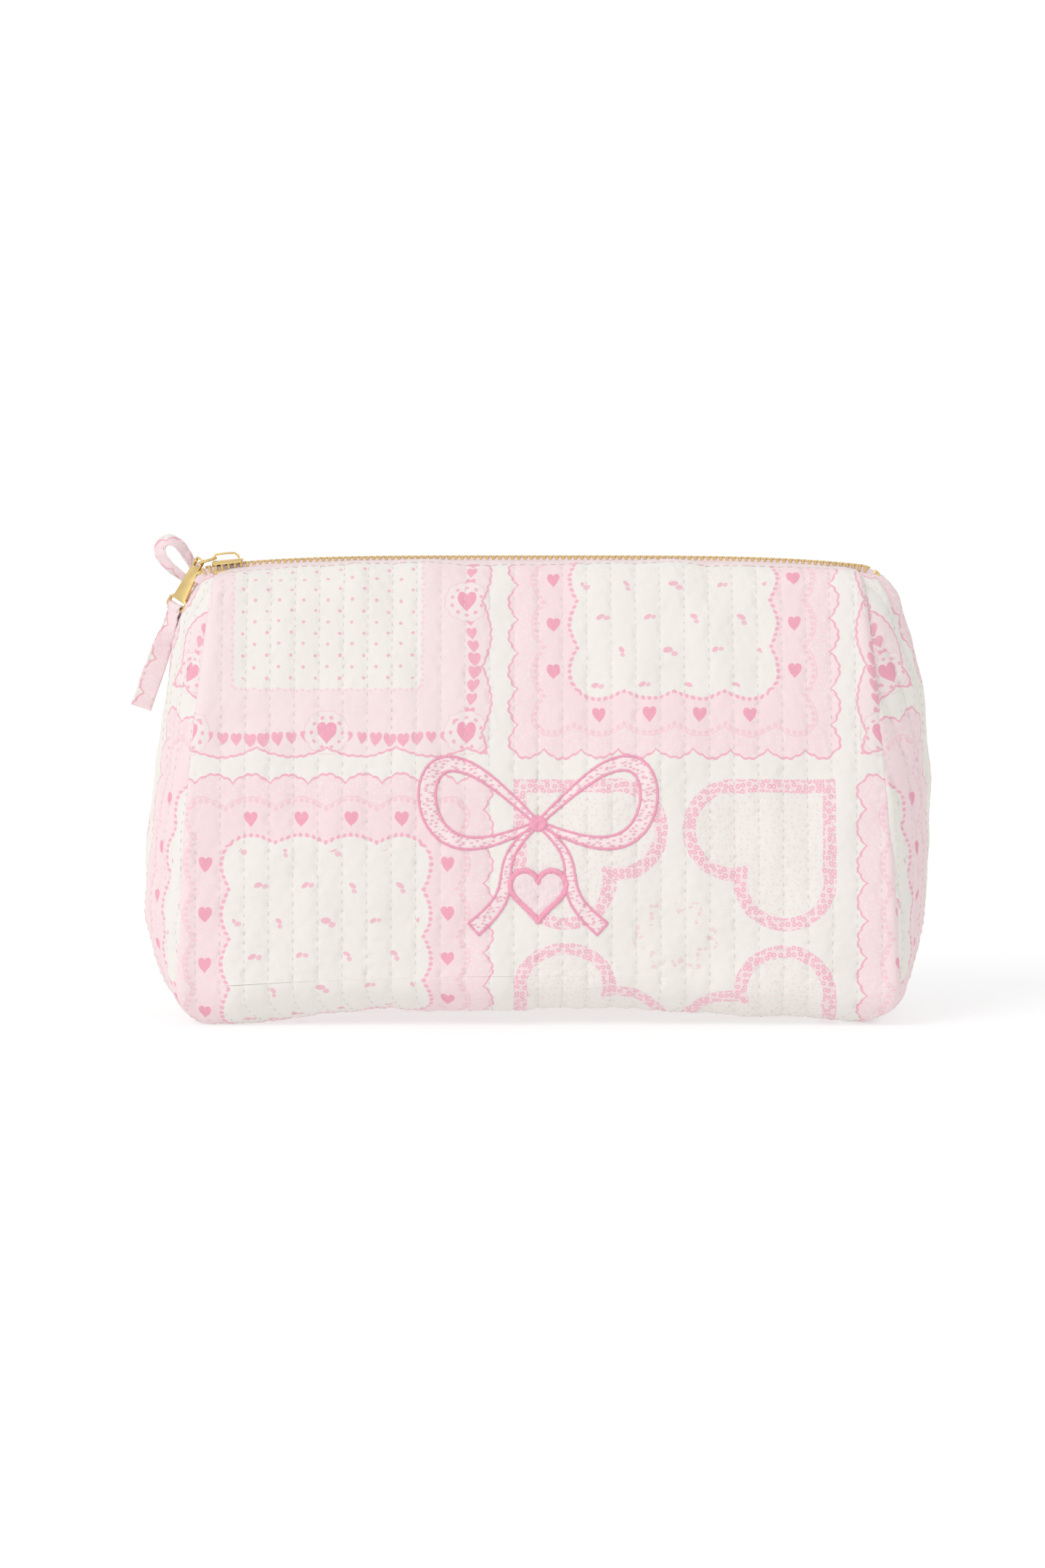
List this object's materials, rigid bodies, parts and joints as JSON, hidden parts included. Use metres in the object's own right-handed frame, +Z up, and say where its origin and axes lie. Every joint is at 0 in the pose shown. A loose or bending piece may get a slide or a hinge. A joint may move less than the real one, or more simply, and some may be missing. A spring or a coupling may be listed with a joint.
{
  "type": "makeup bag",
  "caption": "Quilted fabric makeup bag with a padded body, bulging end gussets, a metal zip with slider, link and ribbon pull, and a ribbon hanging loop.",
  "frame": {"origin": "middle of the base, on the surface that the bag stands on", "axes": "+X along the zip, towards the end that the closed slider is away from; +Y to the back panel; +Z up"},
  "size_m": [0.2774, 0.096, 0.1649],
  "materials": {
    "printed_cotton": "quilted cotton percale, printed in pink on cream",
    "wadding": "polyester wadding",
    "lining": "plain cotton",
    "zip_tape": "woven polyester tape",
    "ribbon": "printed cotton ribbon",
    "zip_teeth": "polished",
    "brass": "polished"
  },
  "bodies": {
    "bag": {"bottom_cover": "printed_cotton", "bottom_wadding": "wadding", "bottom_lining": "lining", "left_gusset_cover": "printed_cotton", "left_gusset_wadding": "wadding", "left_gusset_lining": "lining", "right_gusset_cover": "printed_cotton", "right_gusset_wadding": "wadding", "right_gusset_lining": "lining", "top_stop_front": "zip_teeth", "top_stop_back": "zip_teeth", "bottom_stop": "zip_teeth"},
    "front": {"front_cover": "printed_cotton", "front_wadding": "wadding", "front_lining": "lining", "zip_tape_front": "zip_tape", "zip_teeth_front": "zip_teeth"},
    "back": {"back_cover": "printed_cotton", "back_wadding": "wadding", "back_lining": "lining", "zip_tape_back": "zip_tape", "zip_teeth_back": "zip_teeth"},
    "slider": {"slider_body": "brass", "slider_bridge": "brass"},
    "link": {"link_ring": "brass"},
    "pull": {"pull_tab": "brass"},
    "ribbon": {"ribbon_tab": "ribbon"},
    "loop": {"hang_loop": "ribbon"}
  },
  "joints": [
    {"name": "slider_slide", "type": "slide", "parent": "bag", "child": "slider", "axis": [1, 0, 0], "range_m": [0, 0.205]},
    {"name": "front_open", "type": "hinge", "parent": "bag", "child": "front", "pos_m": [0, -0.048, 0.01415], "axis": [1, 0, 0], "range_deg": [0, 12], "deforming": ["zip_tape_front", "zip_teeth_front"]},
    {"name": "back_open", "type": "hinge", "parent": "bag", "child": "back", "pos_m": [0, 0.048, 0.01415], "axis": [1, 0, 0], "range_deg": [-12, 0], "deforming": ["zip_tape_back", "zip_teeth_back"]},
    {"name": "link_swing", "type": "hinge", "parent": "slider", "child": "link", "pos_m": [-0.11212, 0, 0.15887], "axis": [0, 1, 0], "range_deg": [0, 150]},
    {"name": "pull_swing", "type": "hinge", "parent": "link", "child": "pull", "pos_m": [-0.11843, 0, 0.15694], "axis": [0, 1, 0], "range_deg": [0, 100]},
    {"name": "ribbon_swing", "type": "hinge", "parent": "pull", "child": "ribbon", "pos_m": [-0.12656, 0, 0.14167], "axis": [-0.6243, 0.7071, 0.332], "range_deg": [0, 25]},
    {"name": "loop_bend", "type": "hinge", "parent": "bag", "child": "loop", "pos_m": [-0.1163, 0.0128, 0.1484], "axis": [0, 1, 0], "range_deg": [-15, 40], "stiffness_Nm_per_rad": 0.00005}
  ],
  "couplings": [
    {"joint": "front_open", "follows": "slider_slide", "rad_per_m": 1},
    {"joint": "back_open", "follows": "slider_slide", "rad_per_m": -1}
  ]
}
